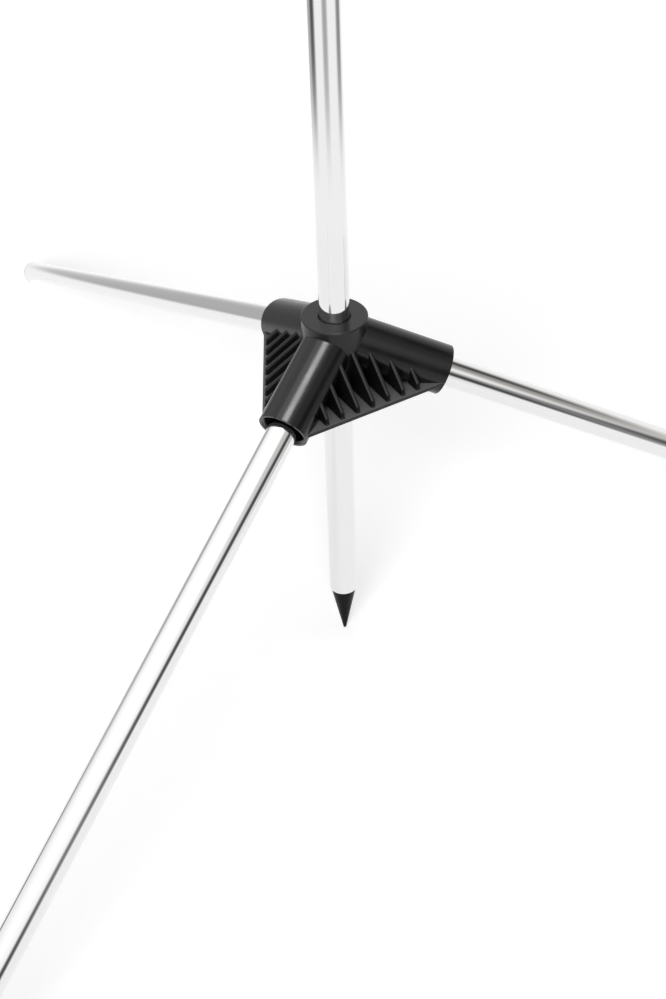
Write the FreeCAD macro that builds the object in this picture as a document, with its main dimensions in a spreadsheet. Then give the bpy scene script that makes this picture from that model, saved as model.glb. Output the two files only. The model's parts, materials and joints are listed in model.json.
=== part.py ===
import FreeCAD
import Part
import Sketcher
import math
import os
import re

# Free-standing tripod pole stand of a lawn target game: a moulded hub with three sloping
# sockets, three straight leg tubes with foot plugs, and a sectional pole that ends in a
# ground spike. Millimetres, +Z up. The origin is the spike's tip on the floor, and the
# right leg points along +X.
doc = FreeCAD.newDocument("pole_stand")
sheet = doc.addObject("Spreadsheet::Sheet", "Sizes")

SIZES = [
    ("tube_radius", 8.0),            # 16 mm round tube, the same for pole and legs
    ("tube_inner_radius", 6.8),      # 1.2 mm wall
    ("hub_top", 223.0),              # hub's top face above the floor
    ("boss_radius", 17.6),
    ("boss_depth", 44.0),
    ("boss_edge", 0.4),              # small bevel of the boss's top edge
    ("pole_bore_radius", 8.06),      # sliding fit on the pole
    ("pole_bore_chamfer", 0.9),
    ("leg_slope", 24.33),            # degrees below the horizontal
    ("meet_drop", 11.3),             # leg axes cross the pole axis this far below the top
    ("socket_start", 6.0),           # distances along the leg axis from the pole axis
    ("socket_stop", 15.95),
    ("socket_mouth", 62.3),
    ("socket_radius", 13.6),
    ("seat_radius", 8.05),           # sliding fit on the leg tube
    ("recess_radius", 11.0),         # wider mouth round the tube
    ("recess_depth", 9.0),
    ("recess_chamfer", 1.2),
    ("plate_edge", 39.0),            # straight edges of the bottom plate from the pole axis
    ("plate_corner", 55.5),          # plate's corners, cut off inside the socket mouths
    ("plate_floor", 38.3),           # plate's underside below the hub's top
    ("plate_thickness", 2.1),
    ("rib_pitch", 9.25),
    ("rib_thickness", 2.0),
    ("rib_foot", 38.0),              # ribs' outer ends from the pole axis
    ("rib_end_rise", 1.6),
    ("rib_end_run", 0.6),
    ("rib_slope", 44.0),             # degrees
    ("rib_bevel", 0.6),              # bevels along the ribs' tops, which make them half an octagon
    ("rib_sink", 1.0),               # ribs reach this far into the plate
    ("rib_inset", 2.5),              # ribs end this far short of the planes of the leg axes
    ("end_web_start", 38.2),         # solid webs behind the mouths, along the plate's edge
    ("end_web_stop", 41.5),
    ("leg_start", 16.0),
    ("leg_reach", 497.15),           # along the axis from the pole axis to the foot's end
    ("plug_flange", 2.0),
    ("plug_rim", 1.0),
    ("plug_spigot", 16.0),
    ("cap_flange", 3.0),
    ("spike_length", 33.5),
    ("spike_radius", 7.45),
    ("spike_tip_radius", 0.85),
    ("spike_tip_bevel", 0.45),
    ("spike_spigot", 25.0),
    ("section_length", 405.0),       # one pole section
    ("section_gap", 0.05),
    ("ferrule_half", 40.0),
    ("ferrule_slide_radius", 6.74),  # sliding fit inside the next section
    ("ferrule_inner_radius", 5.2),
    ("ferrule_chamfer", 0.8),
]
LEG_AZIMUTHS = {"right": 0.0, "back": 120.0, "front": 240.0}
RIB_COUNT = 7
FACE_COUNT = 3
POLE_SECTIONS = ("lower", "middle", "upper")

for row, (alias, value) in enumerate(SIZES, start=1):
    sheet.set("A" + str(row), alias)
    sheet.set("B" + str(row), str(value))
    sheet.setAlias("B" + str(row), alias)
doc.recompute()

ALIASES = {alias for alias, value in SIZES}


def bound(expression):
    """Give the expression with every size written as a cell of the sheet."""
    def cell(word):
        return "Sizes." + word.group() if word.group() in ALIASES else word.group()
    return re.sub(r"[a-z_]+", cell, expression)


def amount(expression):
    """Give the expression's value."""
    value = sheet.evalExpression(expression)
    return float(getattr(value, "Value", value))


def new_body(name):
    body = doc.addObject("PartDesign::Body", name)
    body.Label = name
    return body


def origin_feature(body, role):
    return next(item for item in body.Origin.OriginFeatures if item.Role == role)


def new_sketch(body, name, role, offset="0"):
    """Add a sketch on one of the body's own planes, moved along the plane's normal."""
    sketch = body.newObject("Sketcher::SketchObject", name)
    sketch.AttachmentSupport = [(origin_feature(body, role), "")]
    sketch.MapMode = "FlatFace"
    if offset != "0":
        sketch.setExpression("AttachmentOffset.Base.z", bound(offset))
    return sketch


def pin_point(sketch, line, end, point):
    """Hold one end of a line at the place that two expressions give."""
    for kind, expression in zip(("DistanceX", "DistanceY"), point):
        number = sketch.addConstraint(Sketcher.Constraint(kind, -1, 1, line, end, amount(expression)))
        sketch.setExpression("Constraints[" + str(number) + "]", bound(expression))


def add_outline(sketch, points):
    """Draw a closed outline through points given as pairs of expressions."""
    places = [FreeCAD.Vector(amount(x), amount(y), 0) for x, y in points]
    lines = []
    for number, place in enumerate(places):
        following = places[(number + 1) % len(places)]
        lines.append(sketch.addGeometry(Part.LineSegment(place, following), False))
    for number, line in enumerate(lines):
        following = lines[(number + 1) % len(lines)]
        sketch.addConstraint(Sketcher.Constraint("Coincident", line, 2, following, 1))
    for line, point in zip(lines, points):
        pin_point(sketch, line, 1, point)


def add_circle(sketch, radius):
    """Draw a circle round the sketch's origin."""
    ring = Part.Circle(FreeCAD.Vector(0, 0, 0), FreeCAD.Vector(0, 0, 1), amount(radius))
    circle = sketch.addGeometry(ring, False)
    sketch.addConstraint(Sketcher.Constraint("Coincident", circle, 3, -1, 1))
    number = sketch.addConstraint(Sketcher.Constraint("Radius", circle, amount(radius)))
    sketch.setExpression("Constraints[" + str(number) + "]", bound(radius))


def add_pad(body, name, sketch, length, reverse=False, symmetric=False):
    pad = body.newObject("PartDesign::Pad", name)
    pad.Profile = sketch
    pad.setExpression("Length", bound(length))
    pad.Reversed = reverse
    if symmetric:
        pad.SideType = "Symmetric"
    return pad


def add_turned(body, name, points):
    """Turn an outline of (radius, height) pairs about the body's Z axis."""
    sketch = new_sketch(body, name + "_outline", "XZ_Plane")
    add_outline(sketch, points)
    turned = body.newObject("PartDesign::Revolution", name)
    turned.Profile = sketch
    turned.ReferenceAxis = (sketch, ["V_Axis"])
    turned.Angle = 360
    return turned


def add_ring_pattern(body, name, features, count):
    """Repeat features at equal steps round the body's Z axis."""
    pattern = body.newObject("PartDesign::PolarPattern", name)
    pattern.Originals = features
    pattern.Axis = (origin_feature(body, "Z_Axis"), [""])
    pattern.Angle = 360
    pattern.Occurrences = count
    body.Tip = pattern
    return pattern


def add_bevel(body, name, base, edges, size):
    """Bevel the chosen edges of the feature before."""
    bevel = body.newObject("PartDesign::Chamfer", name)
    bevel.Base = (base, edges)
    bevel.setExpression("Size", bound(size))
    return bevel


def edge_names(shape, wanted):
    return ["Edge" + str(number) for number, edge in enumerate(shape.Edges, start=1) if wanted(edge)]


def circle_at(edge, radius, height):
    """Tell whether an edge is a circle round the Z axis of this size and height."""
    curve = edge.Curve
    return (isinstance(curve, Part.Circle) and abs(curve.Radius - radius) < 1e-4
            and abs(curve.Center.z - height) < 1e-4 and math.hypot(curve.Center.x, curve.Center.y) < 1e-4)


# Points of the sloping socket are given by the distance along the leg's axis and the
# height above it, in the upright plane through the leg and the pole.
def on_leg(along, above):
    x = "(" + along + ") * cos(leg_slope * 1 deg) + (" + above + ") * sin(leg_slope * 1 deg)"
    z = "-meet_drop - (" + along + ") * sin(leg_slope * 1 deg) + (" + above + ") * cos(leg_slope * 1 deg)"
    return x, z


def add_axis_line(sketch):
    """Draw the leg's axis as a construction line and give its name."""
    ends = [on_leg("0", "0"), on_leg("socket_mouth", "0")]
    places = [FreeCAD.Vector(amount(x), amount(y), 0) for x, y in ends]
    line = sketch.addGeometry(Part.LineSegment(*places), True)
    pin_point(sketch, line, 1, ends[0])
    pin_point(sketch, line, 2, ends[1])


# The webs under the sockets: a flat plate with three straight edges, and on each side of
# it seven upright ribs whose bevelled tops climb inwards to the boss and the sockets.
web = new_body("hub_web")
plate_sketch = new_sketch(web, "plate_outline", "XY_Plane", "-plate_floor")
corner_half = "((plate_edge - plate_corner * cos(60 deg)) / sin(60 deg))"
plate_points = []
for azimuth in LEG_AZIMUTHS.values():
    for side in ("-", ""):
        along = "cos(" + str(azimuth) + " deg)"
        across = "sin(" + str(azimuth) + " deg)"
        x = "plate_corner * " + along + " - (" + side + corner_half + ") * " + across
        y = "plate_corner * " + across + " + (" + side + corner_half + ") * " + along
        plate_points.append((x, y))
add_outline(plate_sketch, plate_points)
plate = add_pad(web, "plate", plate_sketch, "plate_thickness")


def web_outline(place):
    """Give the upright outline of a rib or web that stands this far along the plate's edge."""
    inner = "max(abs(" + place + ") / tan(60 deg) + rib_inset; socket_start)"
    end_top = "(rib_end_rise - plate_floor + plate_thickness)"
    climb = "(rib_foot - rib_end_run - " + inner + ") * tan(rib_slope * 1 deg)"
    sunk = "plate_thickness - plate_floor - rib_sink"
    return [
        ("-rib_foot", sunk),
        ("-rib_foot", "plate_thickness - plate_floor"),
        ("-(rib_foot - rib_end_run)", end_top),
        ("-" + inner, "(" + end_top + " + " + climb + ")"),
        ("-" + inner, sunk),
    ]


ribs = []
for index in range(RIB_COUNT):
    place = "(" + str(index - RIB_COUNT // 2) + ") * rib_pitch"
    rib_sketch = new_sketch(web, "rib_outline_" + str(index + 1), "XZ_Plane", place)
    add_outline(rib_sketch, web_outline(place))
    ribs.append(add_pad(web, "rib_" + str(index + 1), rib_sketch, "rib_thickness", symmetric=True))

# Behind each socket's mouth the space between plate and socket is solid.
for name, side, away in (("end_web_left", "-", False), ("end_web_right", "", True)):
    web_sketch = new_sketch(web, name + "_outline", "XZ_Plane", side + "end_web_start")
    add_outline(web_sketch, web_outline("end_web_stop"))
    ribs.append(add_pad(web, name, web_sketch, "end_web_stop - end_web_start", reverse=not away))
doc.recompute()
rib_ring = add_ring_pattern(web, "rib_ring", ribs, FACE_COUNT)
doc.recompute()

plate_top_height = amount("plate_thickness - plate_floor")
web_distance = math.hypot(amount("rib_foot - rib_end_run"), amount("end_web_start")) - 0.1


def is_rib_top(edge):
    """Tell whether an edge runs along a rib's sloping top."""
    if not isinstance(edge.Curve, Part.Line):
        return False
    low, high = sorted((vertex.Point for vertex in edge.Vertexes), key=lambda point: point.z)
    run = math.hypot(high.x - low.x, high.y - low.y)
    from_axis = math.hypot(low.x, low.y)
    return high.z - low.z > 1 and run > 1 and low.z > plate_top_height + 1 and from_axis < web_distance


rib_tops = edge_names(rib_ring.Shape, is_rib_top)
add_bevel(web, "rib_bevels", rib_ring, rib_tops, "rib_bevel")
doc.recompute()

# The hub: one moulding. A round boss carries the pole, three round sockets slope down from
# it to hold the legs.
hub = new_body("hub")
boss_sketch = new_sketch(hub, "boss_outline", "XY_Plane")
add_circle(boss_sketch, "boss_radius")
boss = add_pad(hub, "boss", boss_sketch, "boss_depth", reverse=True)

socket_sketch = new_sketch(hub, "socket_outline", "XZ_Plane")
add_outline(socket_sketch, [
    on_leg("socket_start", "0"),
    on_leg("socket_mouth", "0"),
    on_leg("socket_mouth", "socket_radius"),
    on_leg("socket_start", "socket_radius"),
])
add_axis_line(socket_sketch)
socket = hub.newObject("PartDesign::Revolution", "socket")
socket.Profile = socket_sketch
socket.ReferenceAxis = (socket_sketch, ["Axis0"])
socket.Angle = 360
doc.recompute()
socket_ring = add_ring_pattern(hub, "socket_ring", [socket], len(LEG_AZIMUTHS))
doc.recompute()
boss_rims = edge_names(socket_ring.Shape, lambda edge: circle_at(edge, amount("boss_radius"), 0))
add_bevel(hub, "boss_bevel", socket_ring, boss_rims, "boss_edge")
doc.recompute()
joined = hub.newObject("PartDesign::Boolean", "joined")
joined.setObjects([web])
joined.Type = "Fuse"
doc.recompute()
volume_before = joined.Shape.Volume

# The bore for the pole goes right through and is bevelled at the top.
bore_sketch = new_sketch(hub, "bore_outline", "XZ_Plane")
add_outline(bore_sketch, [
    ("0", "1"),
    ("0", "-boss_depth - 1"),
    ("pole_bore_radius", "-boss_depth - 1"),
    ("pole_bore_radius", "-pole_bore_chamfer"),
    ("pole_bore_radius + pole_bore_chamfer", "0"),
    ("pole_bore_radius + pole_bore_chamfer", "1"),
])
bore = hub.newObject("PartDesign::Groove", "pole_bore")
bore.Profile = bore_sketch
bore.ReferenceAxis = (bore_sketch, ["V_Axis"])
bore.Angle = 360
doc.recompute()
volume_bored = bore.Shape.Volume

# Each socket is bored to a flat stop; its mouth is wider than the tube, with a bevelled rim.
recess_floor = "socket_mouth - recess_depth"
cavity_sketch = new_sketch(hub, "cavity_outline", "XZ_Plane")
add_outline(cavity_sketch, [
    on_leg("socket_stop", "0"),
    on_leg("socket_mouth + 1", "0"),
    on_leg("socket_mouth + 1", "recess_radius + recess_chamfer"),
    on_leg("socket_mouth", "recess_radius + recess_chamfer"),
    on_leg("socket_mouth - recess_chamfer", "recess_radius"),
    on_leg(recess_floor, "recess_radius"),
    on_leg(recess_floor, "seat_radius"),
    on_leg("socket_stop", "seat_radius"),
])
add_axis_line(cavity_sketch)
cavity = hub.newObject("PartDesign::Groove", "cavity")
cavity.Profile = cavity_sketch
cavity.ReferenceAxis = (cavity_sketch, ["Axis0"])
cavity.Angle = 360
doc.recompute()
cavity_ring = add_ring_pattern(hub, "cavity_ring", [cavity], len(LEG_AZIMUTHS))
doc.recompute()
assert cavity_ring.Shape.Volume < volume_bored < volume_before, "a cut of the hub removed nothing"
hub.Placement = FreeCAD.Placement(FreeCAD.Vector(0, 0, amount("hub_top")), FreeCAD.Rotation())


def add_tube(name, length):
    """Make a straight round tube that stands on its lower end."""
    body = new_body(name)
    sketch = new_sketch(body, name + "_ring", "XY_Plane")
    add_circle(sketch, "tube_radius")
    add_circle(sketch, "tube_inner_radius")
    add_pad(body, name + "_wall", sketch, length)
    return body


def add_plug(name, flange):
    """Make an end plug: a flange with a bevelled rim and a spigot pressed into a tube.

    The flange's outer face is at height zero and the spigot points down.
    """
    body = new_body(name)
    turned = add_turned(body, name + "_turned", [
        ("0", "0"),
        ("0", "-" + flange + " - plug_spigot"),
        ("tube_inner_radius", "-" + flange + " - plug_spigot"),
        ("tube_inner_radius", "-" + flange),
        ("tube_radius", "-" + flange),
        ("tube_radius", "0"),
    ])
    doc.recompute()
    rims = edge_names(turned.Shape, lambda edge: circle_at(edge, amount("tube_radius"), 0))
    add_bevel(body, name + "_rim", turned, rims, "plug_rim")
    return body


# Three legs. Each tube starts at its socket's stop and ends in a plug on the floor.
nodes = [hub]
for side, azimuth in LEG_AZIMUTHS.items():
    slope = amount("leg_slope")
    tip = FreeCAD.Rotation(FreeCAD.Vector(0, 1, 0), 90 + slope)
    turn = FreeCAD.Rotation(FreeCAD.Vector(0, 0, 1), azimuth) * tip
    outward = turn.multVec(FreeCAD.Vector(0, 0, 1))
    crossing = FreeCAD.Vector(0, 0, amount("hub_top - meet_drop"))
    tube = add_tube("leg_tube_" + side, "leg_reach - plug_flange - leg_start")
    tube.Placement = FreeCAD.Placement(crossing + outward * amount("leg_start"), turn)
    plug = add_plug("foot_plug_" + side, "plug_flange")
    plug.Placement = FreeCAD.Placement(crossing + outward * amount("leg_reach"), turn)
    nodes += [tube, plug]

# The pole: three equal sections. A stepped ferrule is pressed into the top of each lower
# section and slides into the next one. The bottom section ends in a pointed spike.
section_step = "(section_length + section_gap)"
for number, level in enumerate(POLE_SECTIONS):
    section = add_tube("pole_tube_" + level, "section_length")
    base = amount("spike_length + " + str(number) + " * " + section_step)
    section.Placement = FreeCAD.Placement(FreeCAD.Vector(0, 0, base), FreeCAD.Rotation())
    nodes.append(section)

for number, level in enumerate(POLE_SECTIONS[:-1]):
    ferrule = new_body("pole_ferrule_" + level)
    add_turned(ferrule, ferrule.Name + "_turned", [
        ("ferrule_inner_radius", "-ferrule_half"),
        ("tube_inner_radius", "-ferrule_half"),
        ("tube_inner_radius", "0"),
        ("ferrule_slide_radius", "0"),
        ("ferrule_slide_radius", "ferrule_half - ferrule_chamfer"),
        ("ferrule_slide_radius - ferrule_chamfer", "ferrule_half"),
        ("ferrule_inner_radius", "ferrule_half"),
    ])
    top = amount("spike_length + section_length + " + str(number) + " * " + section_step)
    ferrule.Placement = FreeCAD.Placement(FreeCAD.Vector(0, 0, top), FreeCAD.Rotation())
    nodes.append(ferrule)

spike = new_body("spike")
spike_turned = add_turned(spike, "spike_turned", [
    ("0", "0"),
    ("spike_tip_radius", "0"),
    ("spike_radius", "spike_length"),
    ("tube_inner_radius", "spike_length"),
    ("tube_inner_radius", "spike_length + spike_spigot"),
    ("0", "spike_length + spike_spigot"),
])
doc.recompute()
tips = edge_names(spike_turned.Shape, lambda edge: circle_at(edge, amount("spike_tip_radius"), 0))
add_bevel(spike, "spike_point", spike_turned, tips, "spike_tip_bevel")
nodes.append(spike)

cap = add_plug("pole_cap", "cap_flange")
pole_top = amount("spike_length + 3 * section_length + 2 * section_gap + cap_flange")
cap.Placement = FreeCAD.Placement(FreeCAD.Vector(0, 0, pole_top), FreeCAD.Rotation())
nodes.append(cap)
doc.recompute()

for item in doc.Objects:
    assert not {"Invalid", "Error"} & set(item.State), item.Name + " failed"
for node in nodes:
    assert not node.Shape.isNull() and node.Shape.isValid(), node.Label + " has no valid shape"
    assert len(node.Shape.Solids) == 1, node.Label + " is not one solid"

os.makedirs("parts", exist_ok=True)
for node in nodes:
    node.Shape.exportStep("parts/" + node.Label + ".step")
    print(node.Label, round(node.Shape.Volume), "mm3")
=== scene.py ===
import json
import math
import bmesh
import bpy
from mathutils import Matrix, Vector

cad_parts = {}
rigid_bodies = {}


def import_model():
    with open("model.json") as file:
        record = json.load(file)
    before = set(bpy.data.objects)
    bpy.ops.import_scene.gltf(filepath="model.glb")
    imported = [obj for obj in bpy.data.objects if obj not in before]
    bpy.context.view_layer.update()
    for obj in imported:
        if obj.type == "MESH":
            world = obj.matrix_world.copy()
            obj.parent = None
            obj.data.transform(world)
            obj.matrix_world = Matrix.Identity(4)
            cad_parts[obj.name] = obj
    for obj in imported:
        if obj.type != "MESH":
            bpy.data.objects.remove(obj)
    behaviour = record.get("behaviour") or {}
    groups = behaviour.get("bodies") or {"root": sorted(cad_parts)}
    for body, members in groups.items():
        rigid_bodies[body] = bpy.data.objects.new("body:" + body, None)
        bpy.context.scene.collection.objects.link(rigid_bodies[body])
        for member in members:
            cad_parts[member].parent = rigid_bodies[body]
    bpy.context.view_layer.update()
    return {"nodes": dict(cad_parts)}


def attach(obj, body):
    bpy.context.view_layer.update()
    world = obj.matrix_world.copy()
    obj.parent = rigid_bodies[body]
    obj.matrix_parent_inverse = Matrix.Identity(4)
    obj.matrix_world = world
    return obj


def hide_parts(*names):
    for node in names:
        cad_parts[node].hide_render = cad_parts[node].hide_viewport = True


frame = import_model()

# Hub. One injection moulding in half-gloss black plastic: a round boss, three sockets, a
# thin plate and rows of ribs. Its skin is a little uneven, and matt on top of the plate. The
# top of the plate is also painted paler, as painted light where the light falls on it.
MM = 0.001
PLATE_TOP = 186.8 * MM
PLATE_BAND = 0.1 * MM
# painted light: the pale colour of the plate's top, standing in for the light that falls on it
PLATE_PAINTED_LIGHT = (0.06, 0.06, 0.061)
PLATE_ROUGHNESS = 0.5
BLACK = (0.003, 0.003, 0.0032)
BLACK_ROUGHNESS = 0.22
BLACK_GLOSS = 0.36
EDGE_SOFTNESS = 0.5 * MM
WAVE_SCALE = 160
WAVE_DEPTH = 0.012 * MM
GRAIN_SCALE = 1800
GRAIN_DEPTH = 0.003 * MM
WEAR_SCALE = 70
WEAR_LOW = 0.85
WEAR_HIGH = 1.2
NOISE_LOW = 0.3
NOISE_HIGH = 0.7


def add_node(material, kind, **values):
    """Add a shader node and set its inputs by name."""
    node = material.node_tree.nodes.new("ShaderNode" + kind)
    for name, value in values.items():
        node.inputs[name.replace("_", " ")].default_value = value
    return node


def connect(material, output, target):
    """Link a node's output to another node's input."""
    material.node_tree.links.new(output, target)


def new_material(name, color, roughness, metallic=0.0):
    """Make a plain material and give it with its shader node."""
    material = bpy.data.materials.new(name)
    material.use_nodes = True
    shader = material.node_tree.nodes["Principled BSDF"]
    shader.inputs["Base Color"].default_value = (*color, 1)
    shader.inputs["Roughness"].default_value = roughness
    shader.inputs["Metallic"].default_value = metallic
    return material, shader


def add_cloud(material, place, scale, low, high, detail=2.0):
    """Add a noise pattern that runs from low to high, and give its output."""
    cloud = add_node(material, "TexNoise", Scale=scale, Detail=detail)
    spread = add_node(material, "MapRange", From_Min=NOISE_LOW, From_Max=NOISE_HIGH,
                      To_Min=low, To_Max=high)
    connect(material, place, cloud.inputs["Vector"])
    connect(material, cloud.outputs["Fac"], spread.inputs["Value"])
    return spread.outputs["Result"]


def add_relief(material, heights, under=None):
    """Stack bumps, each a (pattern, depth) pair, and give the last one's normal."""
    normal = under
    for pattern, depth in heights:
        bump = add_node(material, "Bump", Strength=1.0, Distance=depth)
        connect(material, pattern, bump.inputs["Height"])
        if normal:
            connect(material, normal, bump.inputs["Normal"])
        normal = bump.outputs["Normal"]
    return normal


def moulded_plastic(name, color, roughness, gloss):
    """Make moulded plastic: a slightly wavy skin with a fine grain, and softened edges."""
    material, shader = new_material(name, color, roughness)
    place = add_node(material, "TexCoord").outputs["Object"]
    shader.inputs["Specular IOR Level"].default_value = gloss
    edges = add_node(material, "Bevel", Radius=EDGE_SOFTNESS).outputs["Normal"]
    waves = add_cloud(material, place, WAVE_SCALE, 0.0, 1.0)
    grain = add_cloud(material, place, GRAIN_SCALE, 0.0, 1.0)
    normal = add_relief(material, [(waves, WAVE_DEPTH), (grain, GRAIN_DEPTH)], edges)
    connect(material, normal, shader.inputs["Normal"])
    wear = add_cloud(material, place, WEAR_SCALE, roughness * WEAR_LOW, roughness * WEAR_HIGH)
    connect(material, wear, shader.inputs["Roughness"])
    return material


def matt_with_painted_light_between(material, low, high, roughness, color):
    """Make a moulded skin matt between two heights, and paint it paler there as painted light."""
    shader = material.node_tree.nodes["Principled BSDF"]
    skin = shader.inputs["Roughness"].links[0].from_socket
    place = add_node(material, "TexCoord").outputs["Object"]
    split = add_node(material, "SeparateXYZ")
    connect(material, place, split.inputs["Vector"])
    level = add_node(material, "Math")
    level.operation = "COMPARE"
    level.inputs[1].default_value = (low + high) / 2
    level.inputs[2].default_value = (high - low) / 2
    connect(material, split.outputs["Z"], level.inputs[0])
    blend = add_node(material, "Mix", B=roughness)
    connect(material, level.outputs["Value"], blend.inputs["Factor"])
    connect(material, skin, blend.inputs["A"])
    connect(material, blend.outputs["Result"], shader.inputs["Roughness"])
    # painted light: the base colour turns paler between the two heights
    painted_light_tint = add_node(material, "Mix")
    painted_light_tint.data_type = "RGBA"
    painted_light_tint.inputs["A"].default_value = shader.inputs["Base Color"].default_value
    painted_light_tint.inputs["B"].default_value = (*color, 1)
    connect(material, level.outputs["Value"], painted_light_tint.inputs["Factor"])
    connect(material, painted_light_tint.outputs["Result"], shader.inputs["Base Color"])


def paint(node, material):
    """Give a frame node this material."""
    node.data.materials.clear()
    node.data.materials.append(material)


black_plastic = moulded_plastic("black moulded plastic", BLACK, BLACK_ROUGHNESS, BLACK_GLOSS)
hub_plastic = moulded_plastic("black hub plastic", BLACK, BLACK_ROUGHNESS, BLACK_GLOSS)
matt_with_painted_light_between(hub_plastic, PLATE_TOP - PLATE_BAND, PLATE_TOP + PLATE_BAND, PLATE_ROUGHNESS,
             PLATE_PAINTED_LIGHT)
paint(frame["nodes"]["hub"], hub_plastic)

# Ribs. Seven upright ribs on each side of the hub, moulded with it. Their tops are fully
# round and half-gloss, and turn down to the plate in a rounded nose. The foot of the nose
# and the flanks are matt. They get a less glossy copy of the plastic, which paints the
# shade in the valleys between the ribs.
HUB_TOP = 223 * MM
LEG_DROP = 11.3 * MM
LEG_CROSSING = Vector((0, 0, HUB_TOP - LEG_DROP))
LEG_SLOPE = 24.33
NEXT_LEG_TURNS = (60, -60)
BOSS_RADIUS = 17.6 * MM
SOCKET_RADIUS = 13.6 * MM
SIDE_AZIMUTHS = (60, 180, 300)
RIB_COUNT = 7
RIB_PITCH = 9.25 * MM
RIB_HALF = 1.25 * MM
RIB_FOOT = 37.7 * MM
RIB_RISE = 4.1 * MM
RIB_SLOPE = math.radians(44)
RIB_CORNER = 1.6 * MM
RIB_SINK = 0.8 * MM
RIB_BURY = 0.8 * MM
RIB_BURY_STEP = 0.1 * MM
RIB_FLAT = 0.2 * MM
RIB_SHADE_SLOT = 1
RIB_NOSE_ROWS = 3
RIB_ARC_STEPS = 6
RIB_ROUND_STEPS = 8
# painted shade: a copy of the black plastic with little gloss, for the rib flanks and nose feet
FLANK_SHADE_BLACK = (0.003, 0.003, 0.0033)
FLANK_ROUGHNESS = 0.5
FLANK_SHADE_GLOSS = 0.1
SMOOTH_ANGLE = math.radians(32)


def finish_mesh(name, bm, material):
    """Turn the mesh into an object with smooth rounds and crisp edges."""
    bmesh.ops.recalc_face_normals(bm, faces=bm.faces)
    for face in bm.faces:
        face.smooth = True
    mesh = bpy.data.meshes.new(name)
    bm.to_mesh(mesh)
    bm.free()
    mesh.set_sharp_from_angle(angle=SMOOTH_ANGLE)
    mesh.materials.append(material)
    piece = bpy.data.objects.new(name, mesh)
    bpy.context.scene.collection.objects.link(piece)
    return piece


def direction(azimuth, elevation):
    """Give the direction for an azimuth and an elevation in degrees."""
    turn = math.radians(azimuth)
    rise = math.radians(elevation)
    return Vector((math.cos(rise) * math.cos(turn), math.cos(rise) * math.sin(turn), math.sin(rise)))


def rib_ridge(reach):
    """Give the height of a rib's ridge at a distance from the pole, seen square to its side."""
    return PLATE_TOP + RIB_RISE + (RIB_FOOT - reach) * math.tan(RIB_SLOPE)


def is_buried(reach, place):
    """Tell whether a rib's ridge is inside the boss or a socket; its side of the hub faces +X."""
    if math.hypot(reach, place) < BOSS_RADIUS - RIB_BURY:
        return True
    point = Vector((reach, place, rib_ridge(reach)))
    for turn in NEXT_LEG_TURNS:
        axis = direction(turn, -LEG_SLOPE)
        if (point - LEG_CROSSING).cross(axis).length < SOCKET_RADIUS - RIB_BURY:
            return True
    return False


def rib_path(place):
    """Give the line of a rib's shoulders as (reach, height, direction of its outward normal)."""
    corner_reach = RIB_FOOT - RIB_CORNER
    corner_height = rib_ridge(corner_reach) - RIB_CORNER / math.cos(RIB_SLOPE)
    corner_radius = RIB_CORNER - RIB_HALF
    normal = math.pi / 2 - RIB_SLOPE
    path = [(RIB_FOOT - RIB_HALF, PLATE_TOP - RIB_SINK, 0.0)]
    for step in range(RIB_ARC_STEPS + 1):
        angle = normal * step / RIB_ARC_STEPS
        path.append((corner_reach + corner_radius * math.cos(angle),
                     corner_height + corner_radius * math.sin(angle), angle))
    reach = corner_reach
    while not is_buried(reach, place):
        reach -= RIB_BURY_STEP
    path.append((reach - RIB_HALF * math.cos(normal),
                 rib_ridge(reach) - RIB_HALF * math.sin(normal), normal))
    return path


def add_rib(bm, place, turn):
    """Add one rib to the mesh; its side of the hub faces +X until the turn."""
    path = rib_path(place)
    section = [(-RIB_FLAT, RIB_HALF)]
    for step in range(RIB_ROUND_STEPS + 1):
        across = math.pi * step / RIB_ROUND_STEPS
        section.append((RIB_HALF * math.sin(across), RIB_HALF * math.cos(across)))
    section.append((-RIB_FLAT, -RIB_HALF))
    rows = []
    for reach, height, angle in path:
        row = []
        for out, side in section:
            spot = Vector((reach + out * math.cos(angle), place + side, height + out * math.sin(angle)))
            row.append(bm.verts.new(turn @ spot))
        rows.append(row)
    for number, (first, second) in enumerate(zip(rows, rows[1:])):
        for step in range(len(section) - 1):
            face = bm.faces.new((first[step], first[step + 1], second[step + 1], second[step]))
            is_flank = step in (0, len(section) - 2)
            # the flanks and the nose rows get the copy of the plastic that paints the shade
            face.material_index = RIB_SHADE_SLOT if is_flank or number < RIB_NOSE_ROWS else 0
    heel = []
    for side in (1, -1):
        spot = Vector((path[-1][0], place + side * RIB_HALF, PLATE_TOP - RIB_SINK))
        heel.append(bm.verts.new(turn @ spot))
    left_flank = [row[0] for row in rows] + [heel[0]]
    right_flank = [row[-1] for row in rows] + [heel[1]]
    buried_end = rows[-1] + [heel[1], heel[0]]
    underside = rows[0] + [heel[1], heel[0]]
    for outline in (left_flank, right_flank, buried_end, underside):
        bm.faces.new(outline).material_index = RIB_SHADE_SLOT


bm = bmesh.new()
for side_azimuth in SIDE_AZIMUTHS:
    turn = Matrix.Rotation(math.radians(side_azimuth), 4, "Z")
    for index in range(RIB_COUNT):
        add_rib(bm, (index - RIB_COUNT // 2) * RIB_PITCH, turn)
ribs = finish_mesh("hub_ribs", bm, black_plastic)
# painted shade: the less glossy plastic darkens the valleys between the ribs
shaded_flank_plastic = moulded_plastic("matt rib flank with painted shade", FLANK_SHADE_BLACK, FLANK_ROUGHNESS, FLANK_SHADE_GLOSS)
ribs.data.materials.append(shaded_flank_plastic)
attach(ribs, "stand")

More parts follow.
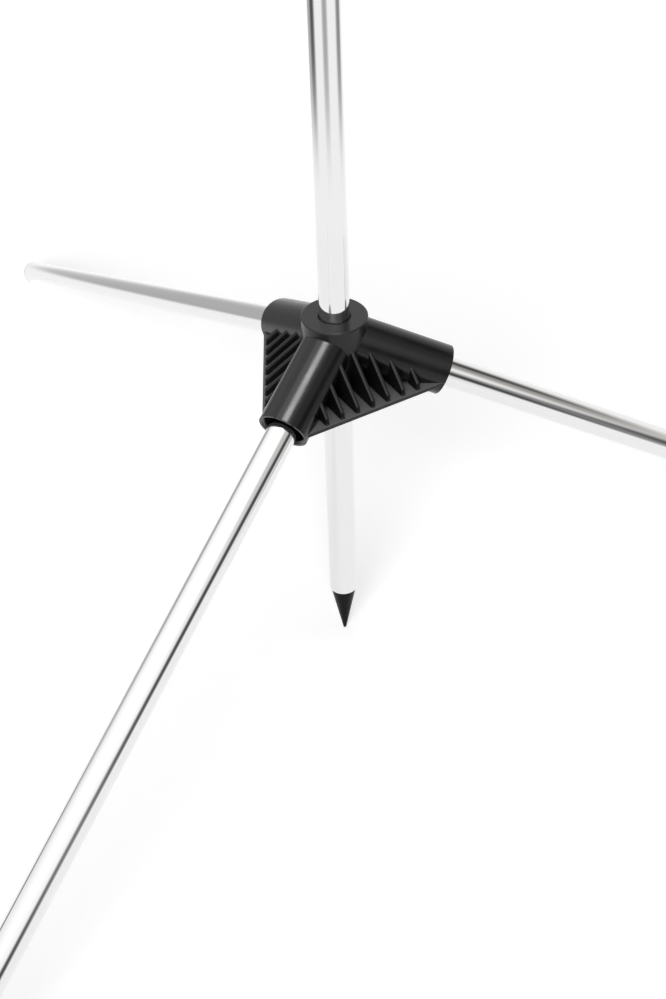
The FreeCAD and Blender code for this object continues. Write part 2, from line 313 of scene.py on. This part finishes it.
# Leg tubes. Three straight round steel tubes, drawn and polished to a mirror, each pushed
# into a socket up to its stop.
TUBE_RADIUS = 8 * MM
BORE_RADIUS = 6.8 * MM
TUBE_ROUNDING = 0.15 * MM
END_BAND = 1 * MM
LEG_START = 16 * MM
LEG_REACH = 497.15 * MM
LEG_AZIMUTHS = {"right": 0, "back": 120, "front": 240}
FOOT_FLANGE = 2 * MM
STEEL = (0.79, 0.79, 0.79)
STEEL_ROUGHNESS = 0.05
HAIR_STRETCH = (1, 1, 0.01)
HAIR_SCALE = 1500
HAIR_DEPTH = 0.0004 * MM
SMUDGE_SCALE = 45
SMUDGE_LOW = 0.6
SMUDGE_HIGH = 1.8
SMUDGE_DETAIL = 4.0
ROUND_STEPS = 128
ROUNDING_ROWS = 3
MERGE_DISTANCE = 0.001 * MM
OWN_PLACE = "own_place"


def spin_round(bm, line, steps):
    """Spin a line of (radius, height) points about Z; a stretch along the axis is left out."""
    corners = [bm.verts.new((radius, 0, height)) for radius, height in line]
    for first, second in zip(corners, corners[1:]):
        if first.co.x + second.co.x > 0:
            bm.edges.new((first, second))
    bmesh.ops.spin(bm, geom=bm.verts[:] + bm.edges[:], cent=(0, 0, 0), axis=(0, 0, 1),
                   angle=math.tau, steps=steps, use_merge=True)
    bmesh.ops.remove_doubles(bm, verts=bm.verts, dist=MERGE_DISTANCE)
    bmesh.ops.recalc_face_normals(bm, faces=bm.faces)


def turned(name, outline, place, material, rounding):
    """Turn a closed outline into a solid about Z, round its edges and place it."""
    bm = bmesh.new()
    spin_round(bm, outline + outline[:1], ROUND_STEPS)
    sharp = [edge for edge in bm.edges
             if len(edge.link_faces) == 2 and edge.calc_face_angle(0) > SMOOTH_ANGLE]
    bmesh.ops.bevel(bm, geom=sharp, offset=rounding, affect="EDGES", segments=ROUNDING_ROWS,
                    profile=0.5, material=-1, offset_type="OFFSET")
    own_place = bm.verts.layers.float_vector.new(OWN_PLACE)
    for vert in bm.verts:
        vert[own_place] = vert.co
    bmesh.ops.transform(bm, matrix=place, verts=bm.verts)
    piece = finish_mesh(name, bm, material)
    return piece


def leg_place(azimuth, distance):
    """Place a piece on a leg's axis, its Z axis pointing outwards."""
    turn = Matrix.Rotation(math.radians(azimuth), 4, "Z")
    tip = Matrix.Rotation(math.pi / 2 + math.radians(LEG_SLOPE), 4, "Y")
    return Matrix.Translation(LEG_CROSSING) @ turn @ tip @ Matrix.Translation((0, 0, distance))


def tube_outline(length):
    """Give a tube's outline; a ring beside each end keeps the long wall's mirror straight."""
    return [
        (BORE_RADIUS, 0),
        (TUBE_RADIUS, 0),
        (TUBE_RADIUS, END_BAND),
        (TUBE_RADIUS, length - END_BAND),
        (TUBE_RADIUS, length),
        (BORE_RADIUS, length),
    ]


def stretch(material, place, factors):
    """Stretch a pattern's place along the axes with small factors, and give the result."""
    scaled = add_node(material, "VectorMath")
    scaled.operation = "MULTIPLY"
    scaled.inputs[1].default_value = factors
    connect(material, place, scaled.inputs[0])
    return scaled.outputs["Vector"]


def polished_metal(name, color, roughness):
    """Make drawn and polished metal: hair lines along the tube, and faint smudges."""
    material, shader = new_material(name, color, roughness, 1.0)
    own = add_node(material, "Attribute")
    own.attribute_name = OWN_PLACE
    own_place = own.outputs["Vector"]
    hairs = add_cloud(material, stretch(material, own_place, HAIR_STRETCH), HAIR_SCALE, 0.0, 1.0)
    connect(material, add_relief(material, [(hairs, HAIR_DEPTH)]), shader.inputs["Normal"])
    smudges = add_cloud(material, own_place, SMUDGE_SCALE, roughness * SMUDGE_LOW,
                        roughness * SMUDGE_HIGH, SMUDGE_DETAIL)
    connect(material, smudges, shader.inputs["Roughness"])
    return material


polished = polished_metal("polished tube", STEEL, STEEL_ROUGHNESS)
leg_length = LEG_REACH - FOOT_FLANGE - LEG_START
for side, azimuth in LEG_AZIMUTHS.items():
    tube = turned("leg_" + side, tube_outline(leg_length), leg_place(azimuth, LEG_START), polished,
                  TUBE_ROUNDING)
    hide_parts("leg_tube_" + side)
    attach(tube, "leg_" + side)

# Foot plugs. Light grey plastic plugs, pressed into the legs' lower ends. Only a flange as
# wide as the tube shows, with a bevelled rim.
PLUG_SPIGOT = 16 * MM
PLUG_RIM = 1 * MM
PLUG_ROUNDING = 0.2 * MM
GREY = (0.34, 0.34, 0.345)
GREY_ROUGHNESS = 0.45
GREY_GLOSS = 0.5


def plug_outline(flange):
    """Give a plug's outline; its flange's outer face is at height zero, its spigot below."""
    return [
        (0, 0),
        (0, -flange - PLUG_SPIGOT),
        (BORE_RADIUS, -flange - PLUG_SPIGOT),
        (BORE_RADIUS, -flange),
        (TUBE_RADIUS, -flange),
        (TUBE_RADIUS, -PLUG_RIM),
        (TUBE_RADIUS - PLUG_RIM, 0),
    ]


grey_plastic = moulded_plastic("grey plug plastic", GREY, GREY_ROUGHNESS, GREY_GLOSS)
for side, azimuth in LEG_AZIMUTHS.items():
    plug = turned("foot_" + side, plug_outline(FOOT_FLANGE), leg_place(azimuth, LEG_REACH),
                  grey_plastic, PLUG_ROUNDING)
    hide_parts("foot_plug_" + side)
    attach(plug, "leg_" + side)

# Pole sections. Three equal tubes of the same polished steel, stacked one on another. A
# ferrule in the top of each of the lower two holds the next one.
SPIKE_LENGTH = 33.5 * MM
SECTION_LENGTH = 405 * MM
SECTION_GAP = 0.05 * MM
SECTION_STEP = SECTION_LENGTH + SECTION_GAP
POLE_BODIES = {"lower": "pole_bottom", "middle": "pole_middle", "upper": "pole_top"}
for number, (level, body) in enumerate(POLE_BODIES.items()):
    place = Matrix.Translation((0, 0, SPIKE_LENGTH + number * SECTION_STEP))
    section = turned("pole_" + level, tube_outline(SECTION_LENGTH), place, polished,
                     TUBE_ROUNDING)
    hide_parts("pole_tube_" + level)
    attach(section, body)

# Ferrules. Turned aluminium sleeves pressed into the tops of the lower and middle
# sections; they show only when a section is lifted off.
ALUMINIUM = (0.72, 0.73, 0.75)
ALUMINIUM_ROUGHNESS = 0.3
TURNING_STRETCH = (0.02, 0.02, 1)
TURNING_SCALE = 4000
TURNING_DEPTH = 0.004 * MM
aluminium, aluminium_shader = new_material("turned aluminium", ALUMINIUM, ALUMINIUM_ROUGHNESS, 1.0)
ferrule_place = add_node(aluminium, "TexCoord").outputs["Object"]
round_place = stretch(aluminium, ferrule_place, TURNING_STRETCH)
turning_marks = add_cloud(aluminium, round_place, TURNING_SCALE, 0.0, 1.0)
turned_normal = add_relief(aluminium, [(turning_marks, TURNING_DEPTH)])
connect(aluminium, turned_normal, aluminium_shader.inputs["Normal"])
for level in ("lower", "middle"):
    paint(frame["nodes"]["pole_ferrule_" + level], aluminium)

# Spike. A pointed black plastic plug with a blunted tip, moulded in one with the spigot
# that is pressed into the bottom of the pole.
SPIKE_TIP = 0.4 * MM
SPIKE_BLUNTING = 0.45 * MM
SPIKE_SHOULDER = 7.45 * MM
SPIKE_SPIGOT = 25 * MM
SPIKE_ROUNDING = 0.1 * MM
CONE_BAND = 0.0605
SPIKE_BLACK = (0.002, 0.002, 0.0022)
SPIKE_ROUGHNESS = 0.3
SPIKE_GLOSS = 0.06


def on_cone(share):
    """Give the spike's (radius, height) at a share of the way from its blunted tip to its top."""
    radius = SPIKE_TIP + SPIKE_BLUNTING
    return (radius + share * (SPIKE_SHOULDER - radius),
            SPIKE_BLUNTING + share * (SPIKE_LENGTH - SPIKE_BLUNTING))


spike_outline = [
    (0, 0),
    (SPIKE_TIP, 0),
    on_cone(0),
    on_cone(CONE_BAND),
    on_cone(1 - CONE_BAND),
    on_cone(1),
    (BORE_RADIUS, SPIKE_LENGTH),
    (BORE_RADIUS, SPIKE_LENGTH + SPIKE_SPIGOT),
    (0, SPIKE_LENGTH + SPIKE_SPIGOT),
]
spike_plastic = moulded_plastic("black spike plastic", SPIKE_BLACK, SPIKE_ROUGHNESS, SPIKE_GLOSS)
spike = turned("spike_point", spike_outline, Matrix.Identity(4), spike_plastic,
               SPIKE_ROUNDING)
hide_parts("spike")
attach(spike, "pole_bottom")

# Pole cap. A plain black plastic plug, made like the foot plugs and pressed into the top
# of the pole to close it.
CAP_FLANGE = 3 * MM
cap_top = SPIKE_LENGTH + 2 * SECTION_STEP + SECTION_LENGTH + CAP_FLANGE
cap = turned("cap_top", plug_outline(CAP_FLANGE), Matrix.Translation((0, 0, cap_top)), black_plastic,
             PLUG_ROUNDING)
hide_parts("pole_cap")
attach(cap, "pole_top")

# Floor. A wide white sheet that runs out of the picture on every side. Its own glow is
# painted light, strongest around the stand and fading further out, so it turns a little
# grey where the studio light would fall off.
FLOOR_HALF = 12
FLOOR_WHITE = (0.9, 0.9, 0.9)
FLOOR_ROUGHNESS = 0.8
FLOOR_GLOW = 0.31
FAR_FLOOR_GLOW = 0.05
GLOW_FADES_FROM = 1.1
GLOW_FADES_TO = 2.6
floor_material, floor_shader = new_material("white floor", FLOOR_WHITE, FLOOR_ROUGHNESS)
floor_shader.inputs["Specular IOR Level"].default_value = 0
floor_shader.inputs["Emission Color"].default_value = (1, 1, 1, 1)
floor_place = add_node(floor_material, "TexCoord").outputs["Object"]
from_middle = add_node(floor_material, "VectorMath")
from_middle.operation = "LENGTH"
connect(floor_material, floor_place, from_middle.inputs[0])
# painted light: the floor's glow fades from its strength near the stand to a faint one far out
falling_off = add_node(floor_material, "MapRange", From_Min=GLOW_FADES_FROM,
                       From_Max=GLOW_FADES_TO, To_Min=FLOOR_GLOW, To_Max=FAR_FLOOR_GLOW)
falling_off.interpolation_type = "SMOOTHSTEP"
connect(floor_material, from_middle.outputs["Value"], falling_off.inputs["Value"])
connect(floor_material, falling_off.outputs["Result"], floor_shader.inputs["Emission Strength"])
bm = bmesh.new()
bmesh.ops.create_grid(bm, x_segments=1, y_segments=1, size=FLOOR_HALF)
finish_mesh("floor", bm, floor_material)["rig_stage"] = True

# Tent. What the polished pieces mirror: a white cloth tent on the floor, brighter above,
# with grey patches for the darker things around it. Only reflections see it. A place's
# colour is set by its direction from a point inside the hub.
TENT_CENTRE = Vector((0, 0, 0.2))
TENT_COLUMNS = 120
TENT_ROWS = 64
SKIRT_RADIUS = 0.45
SKIRT_LIFT = 0.001
SKIRT_SHARE = 0.25
TENT_RADIUS = 0.85
WALL_HEIGHT = 0.4
WALL_SHARE = 0.2
DOME_HEIGHT = 1.2
TENT_LOW = 1.08
TENT_HIGH = 1.3
BRIGHTER_FROM = 20
BRIGHTER_OVER = 35
TENT_PATCHES = [
    # azimuth, elevation, half width and half height in degrees, brightness and warmth there
    (132, 2, 34, 14, 0.5, 0),
    (140, -11, 26, 7, 0.5, 0),
    (176, -11, 21, 7, 0.1, 0),
    (-90, -11, 17, 7, 0.46, 0),
    (12, -11, 22, 7, 0.3, 0),
    (8, 44, 33, 14, 0.36, 0.05),
    (20, 43, 12, 8, 0.08, 0),
    (-24, 13, 34, 13.8, 0.08, 0),
    (-64, 7, 14, 12, 0.07, 0),
    (165, 76, 14, 12, 2.6, 0),
]


def tent_profile(share):
    """Give the tent's radius and height at a share of the way from its skirt's edge to its top."""
    if share < SKIRT_SHARE:
        return SKIRT_RADIUS + (TENT_RADIUS - SKIRT_RADIUS) * share / SKIRT_SHARE, SKIRT_LIFT
    if share < SKIRT_SHARE + WALL_SHARE:
        return TENT_RADIUS, SKIRT_LIFT + WALL_HEIGHT * (share - SKIRT_SHARE) / WALL_SHARE
    dome_share = (share - SKIRT_SHARE - WALL_SHARE) / (1 - SKIRT_SHARE - WALL_SHARE)
    angle = dome_share * math.pi / 2
    return TENT_RADIUS * math.cos(angle), WALL_HEIGHT + DOME_HEIGHT * math.sin(angle)


def tent_color(toward):
    """Give the tent's colour in a direction, with every patch fading at its border."""
    elevation = math.degrees(math.asin(toward.z))
    share = min(1, max(0, (elevation - BRIGHTER_FROM) / BRIGHTER_OVER))
    value = TENT_LOW + (TENT_HIGH - TENT_LOW) * share
    warmth = 0
    for azimuth, elevation, half_width, half_height, patch_value, patch_warmth in TENT_PATCHES:
        centre = direction(azimuth, elevation)
        side = Vector((0, 0, 1)).cross(centre).normalized()
        above = centre.cross(side)
        across = math.degrees(math.atan2(toward.dot(side), toward.dot(centre))) / half_width
        up = math.degrees(math.asin(max(-1, min(1, toward.dot(above))))) / half_height
        share = math.exp(-across ** 4 - up ** 4)
        value += share * (patch_value - value)
        warmth += share * (patch_warmth - warmth)
    return value * (1 + warmth), value, value * (1 - warmth), 1


bm = bmesh.new()
spin_round(bm, [tent_profile(row / TENT_ROWS) for row in range(TENT_ROWS + 1)], TENT_COLUMNS)
tent_glow = bm.verts.layers.float_color.new("glow")
for vert in bm.verts:
    vert[tent_glow] = tent_color((vert.co - TENT_CENTRE).normalized())
tent_material = bpy.data.materials.new("tent cloth")
tent_material.use_nodes = True
tent_nodes = tent_material.node_tree.nodes
tent_nodes.remove(tent_nodes["Principled BSDF"])
emission = add_node(tent_material, "Emission")
tone = add_node(tent_material, "Attribute")
tone.attribute_name = "glow"
connect(tent_material, tone.outputs["Color"], emission.inputs["Color"])
connect(tent_material, emission.outputs["Emission"], tent_nodes["Material Output"].inputs["Surface"])
tent = finish_mesh("tent", bm, tent_material)
tent.visible_camera = False
tent.visible_diffuse = False
tent.visible_transmission = False
tent.visible_shadow = False
tent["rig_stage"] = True

# Camera. Its place, direction and focal length are those of the picture, and everything is
# in focus.
CAMERA_PLACE = (0, -0.80129, 0.76312)
CAMERA_ANGLES = (50.3137, 1.644, -1.0565)
SENSOR_HEIGHT = 36
FOCAL_LENGTH = 66.68
view = bpy.data.cameras.new("view")
view.sensor_fit = "VERTICAL"
view.sensor_height = SENSOR_HEIGHT
view.lens = FOCAL_LENGTH
view.clip_start = 0.01
view.dof.use_dof = False
camera = bpy.data.objects.new("camera", view)
camera.location = CAMERA_PLACE
camera.rotation_euler = [math.radians(angle) for angle in CAMERA_ANGLES]
bpy.context.scene.collection.objects.link(camera)
bpy.context.scene.camera = camera

# Light. Even white light all round, and a soft key from beside the camera whose shadow of
# the hub falls just behind it. The camera sees the room a little brighter than it shines.
ROOM_LIGHT = 0.45
ROOM_SEEN = 0.8
KEY_STRENGTH = 2.3
KEY_WIDTH = math.radians(36)
KEY_DIRECTION = direction(-102, 31)
scene = bpy.context.scene
scene.view_settings.view_transform = "Standard"
world = bpy.data.worlds.new("white room")
world.use_nodes = True
scene.world = world
background = world.node_tree.nodes["Background"]
background.inputs["Color"].default_value = (1, 1, 1, 1)
light_path = world.node_tree.nodes.new("ShaderNodeLightPath")
room = world.node_tree.nodes.new("ShaderNodeMapRange")
room.inputs["To Min"].default_value = ROOM_LIGHT
room.inputs["To Max"].default_value = ROOM_SEEN
world.node_tree.links.new(light_path.outputs["Is Camera Ray"], room.inputs["Value"])
world.node_tree.links.new(room.outputs["Result"], background.inputs["Strength"])
key_data = bpy.data.lights.new("soft key", "SUN")
key_data.energy = KEY_STRENGTH
key_data.angle = KEY_WIDTH
key = bpy.data.objects.new("soft key", key_data)
key.rotation_euler = KEY_DIRECTION.to_track_quat("Z", "Y").to_euler()
scene.collection.objects.link(key)

# Lamp. A round soft box a metre above the hub, which draws the bright streak along the
# front socket. It lights the object only, so the floor stays even.
LAMP_DIRECTION = direction(-55, 77)
LAMP_DISTANCE = 1.05
LAMP_RADIUS = 0.21
LAMP_BRIGHTNESS = 14
lamp_data = bpy.data.lights.new("soft box", "AREA")
lamp_data.shape = "DISK"
lamp_data.size = 2 * LAMP_RADIUS
lamp_data.energy = LAMP_BRIGHTNESS * math.pi * math.pi * LAMP_RADIUS ** 2
lamp = bpy.data.objects.new("soft box", lamp_data)
lamp.location = TENT_CENTRE + LAMP_DIRECTION * LAMP_DISTANCE
lamp.rotation_euler = LAMP_DIRECTION.to_track_quat("Z", "Y").to_euler()
lamp.visible_camera = False
scene.collection.objects.link(lamp)
lit = bpy.data.collections.new("lit by the soft box")
for thing in scene.objects:
    if thing.type == "MESH" and not thing.get("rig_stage"):
        lit.objects.link(thing)
lamp.light_linking.receiver_collection = lit
